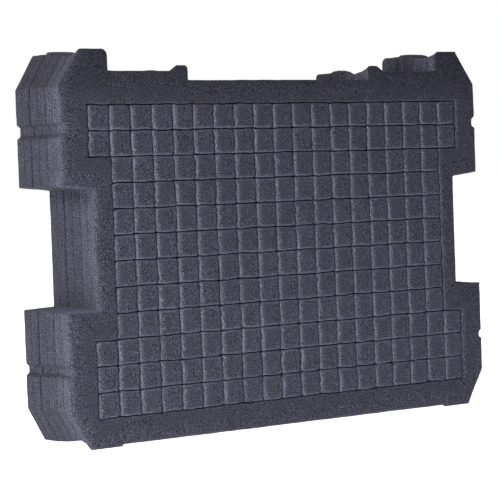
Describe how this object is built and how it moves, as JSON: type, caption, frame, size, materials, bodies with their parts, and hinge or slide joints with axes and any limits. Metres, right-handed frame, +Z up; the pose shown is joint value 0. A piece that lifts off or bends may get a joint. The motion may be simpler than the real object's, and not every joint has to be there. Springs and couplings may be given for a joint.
{
  "type": "pick and pluck foam insert",
  "caption": "Thick charcoal foam insert for a tool case, with a scored grid of plucking cubes in a notched border over a solid base pad.",
  "frame": {"origin": "middle of the standing edge, halfway through the thickness, on the level the two feet stand on", "axes": "+X along the long side, +Y through the thickness towards the base pad's back, +Z up the short side; the scored face looks towards -Y"},
  "size_m": [0.477, 0.0766, 0.339],
  "materials": {
    "base_foam": "closed-cell polyethylene foam, fine matte grain",
    "block_foam": "closed-cell polyethylene foam, fine matte grain",
    "cube_foam": "closed-cell polyethylene foam, scored by a steel-rule die"
  },
  "bodies": {
    "base_pad": {"base_ply_rear": "base_foam", "base_ply_front": "base_foam"},
    "scored_block": {"border_ply_1": "block_foam", "border_ply_2": "block_foam", "border_ply_3": "block_foam", "border_ply_4": "block_foam", "border_ply_5": "block_foam"},
    "row_01_left": {"cubes_row_01_left": "cube_foam"},
    "row_01_right": {"cubes_row_01_right": "cube_foam"},
    "row_02_left": {"cubes_row_02_left": "cube_foam"},
    "row_02_right": {"cubes_row_02_right": "cube_foam"},
    "row_03_left": {"cubes_row_03_left": "cube_foam"},
    "row_03_right": {"cubes_row_03_right": "cube_foam"},
    "row_04_left": {"cubes_row_04_left": "cube_foam"},
    "row_04_right": {"cubes_row_04_right": "cube_foam"},
    "row_05_left": {"cubes_row_05_left": "cube_foam"},
    "row_05_right": {"cubes_row_05_right": "cube_foam"},
    "row_06_left": {"cubes_row_06_left": "cube_foam"},
    "row_06_right": {"cubes_row_06_right": "cube_foam"},
    "row_07_left": {"cubes_row_07_left": "cube_foam"},
    "row_07_right": {"cubes_row_07_right": "cube_foam"},
    "row_08_left": {"cubes_row_08_left": "cube_foam"},
    "row_08_right": {"cubes_row_08_right": "cube_foam"},
    "row_09_left": {"cubes_row_09_left": "cube_foam"},
    "row_09_right": {"cubes_row_09_right": "cube_foam"},
    "row_10_left": {"cubes_row_10_left": "cube_foam"},
    "row_10_right": {"cubes_row_10_right": "cube_foam"},
    "row_11_left": {"cubes_row_11_left": "cube_foam"},
    "row_11_right": {"cubes_row_11_right": "cube_foam"},
    "row_12_left": {"cubes_row_12_left": "cube_foam"},
    "row_12_right": {"cubes_row_12_right": "cube_foam"}
  },
  "joints": [
    {"name": "block_lift", "type": "slide", "parent": "base_pad", "child": "scored_block", "axis": [0, -1, 0], "range_m": [0, 0.06]},
    {"name": "pluck_row_01_left", "type": "slide", "parent": "scored_block", "child": "row_01_left", "axis": [0, -1, 0], "range_m": [0, 0.06]},
    {"name": "pluck_row_01_right", "type": "slide", "parent": "scored_block", "child": "row_01_right", "axis": [0, -1, 0], "range_m": [0, 0.06]},
    {"name": "pluck_row_02_left", "type": "slide", "parent": "scored_block", "child": "row_02_left", "axis": [0, -1, 0], "range_m": [0, 0.06]},
    {"name": "pluck_row_02_right", "type": "slide", "parent": "scored_block", "child": "row_02_right", "axis": [0, -1, 0], "range_m": [0, 0.06]},
    {"name": "pluck_row_03_left", "type": "slide", "parent": "scored_block", "child": "row_03_left", "axis": [0, -1, 0], "range_m": [0, 0.06]},
    {"name": "pluck_row_03_right", "type": "slide", "parent": "scored_block", "child": "row_03_right", "axis": [0, -1, 0], "range_m": [0, 0.06]},
    {"name": "pluck_row_04_left", "type": "slide", "parent": "scored_block", "child": "row_04_left", "axis": [0, -1, 0], "range_m": [0, 0.06]},
    {"name": "pluck_row_04_right", "type": "slide", "parent": "scored_block", "child": "row_04_right", "axis": [0, -1, 0], "range_m": [0, 0.06]},
    {"name": "pluck_row_05_left", "type": "slide", "parent": "scored_block", "child": "row_05_left", "axis": [0, -1, 0], "range_m": [0, 0.06]},
    {"name": "pluck_row_05_right", "type": "slide", "parent": "scored_block", "child": "row_05_right", "axis": [0, -1, 0], "range_m": [0, 0.06]},
    {"name": "pluck_row_06_left", "type": "slide", "parent": "scored_block", "child": "row_06_left", "axis": [0, -1, 0], "range_m": [0, 0.06]},
    {"name": "pluck_row_06_right", "type": "slide", "parent": "scored_block", "child": "row_06_right", "axis": [0, -1, 0], "range_m": [0, 0.06]},
    {"name": "pluck_row_07_left", "type": "slide", "parent": "scored_block", "child": "row_07_left", "axis": [0, -1, 0], "range_m": [0, 0.06]},
    {"name": "pluck_row_07_right", "type": "slide", "parent": "scored_block", "child": "row_07_right", "axis": [0, -1, 0], "range_m": [0, 0.06]},
    {"name": "pluck_row_08_left", "type": "slide", "parent": "scored_block", "child": "row_08_left", "axis": [0, -1, 0], "range_m": [0, 0.06]},
    {"name": "pluck_row_08_right", "type": "slide", "parent": "scored_block", "child": "row_08_right", "axis": [0, -1, 0], "range_m": [0, 0.06]},
    {"name": "pluck_row_09_left", "type": "slide", "parent": "scored_block", "child": "row_09_left", "axis": [0, -1, 0], "range_m": [0, 0.06]},
    {"name": "pluck_row_09_right", "type": "slide", "parent": "scored_block", "child": "row_09_right", "axis": [0, -1, 0], "range_m": [0, 0.06]},
    {"name": "pluck_row_10_left", "type": "slide", "parent": "scored_block", "child": "row_10_left", "axis": [0, -1, 0], "range_m": [0, 0.06]},
    {"name": "pluck_row_10_right", "type": "slide", "parent": "scored_block", "child": "row_10_right", "axis": [0, -1, 0], "range_m": [0, 0.06]},
    {"name": "pluck_row_11_left", "type": "slide", "parent": "scored_block", "child": "row_11_left", "axis": [0, -1, 0], "range_m": [0, 0.06]},
    {"name": "pluck_row_11_right", "type": "slide", "parent": "scored_block", "child": "row_11_right", "axis": [0, -1, 0], "range_m": [0, 0.06]},
    {"name": "pluck_row_12_left", "type": "slide", "parent": "scored_block", "child": "row_12_left", "axis": [0, -1, 0], "range_m": [0, 0.06]},
    {"name": "pluck_row_12_right", "type": "slide", "parent": "scored_block", "child": "row_12_right", "axis": [0, -1, 0], "range_m": [0, 0.06]}
  ]
}
